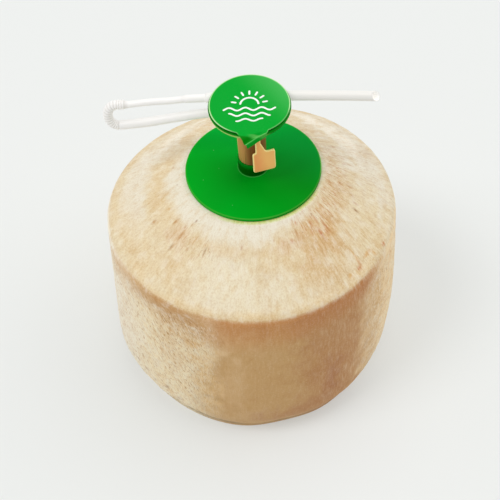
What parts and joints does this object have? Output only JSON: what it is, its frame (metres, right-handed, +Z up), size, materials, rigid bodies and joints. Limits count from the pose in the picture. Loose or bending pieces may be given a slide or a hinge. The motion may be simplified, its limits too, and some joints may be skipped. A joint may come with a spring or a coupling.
{
  "type": "young coconut with push-in opener and straw",
  "caption": "Trimmed young coconut, carved to a drum with a conical top and flat base, with a push-in plastic opener, its lock clip and a folded telescopic straw.",
  "frame": {"origin": "centre of the flat base that the coconut stands on", "axes": "+Z up along the coconut's axis, -Y towards the pull tag and the lid's tab, +X towards the straw's free end"},
  "size_m": [0.1334, 0.1325, 0.1515],
  "materials": {
    "husk": "cut dry husk fibre, cream at the top, tan on the wall",
    "green_plastic": "glossy",
    "tan_plastic": "satin",
    "lid_foil": "satin film with a plain white print",
    "straw_plastic": "smooth, slightly translucent"
  },
  "bodies": {
    "root": {"husk": "husk", "base_disc": "green_plastic", "plunger": "green_plastic", "lock_clip": "tan_plastic", "lid_foil": "lid_foil", "straw_tube": "straw_plastic", "straw_bend": "straw_plastic"}
  },
  "joints": []
}
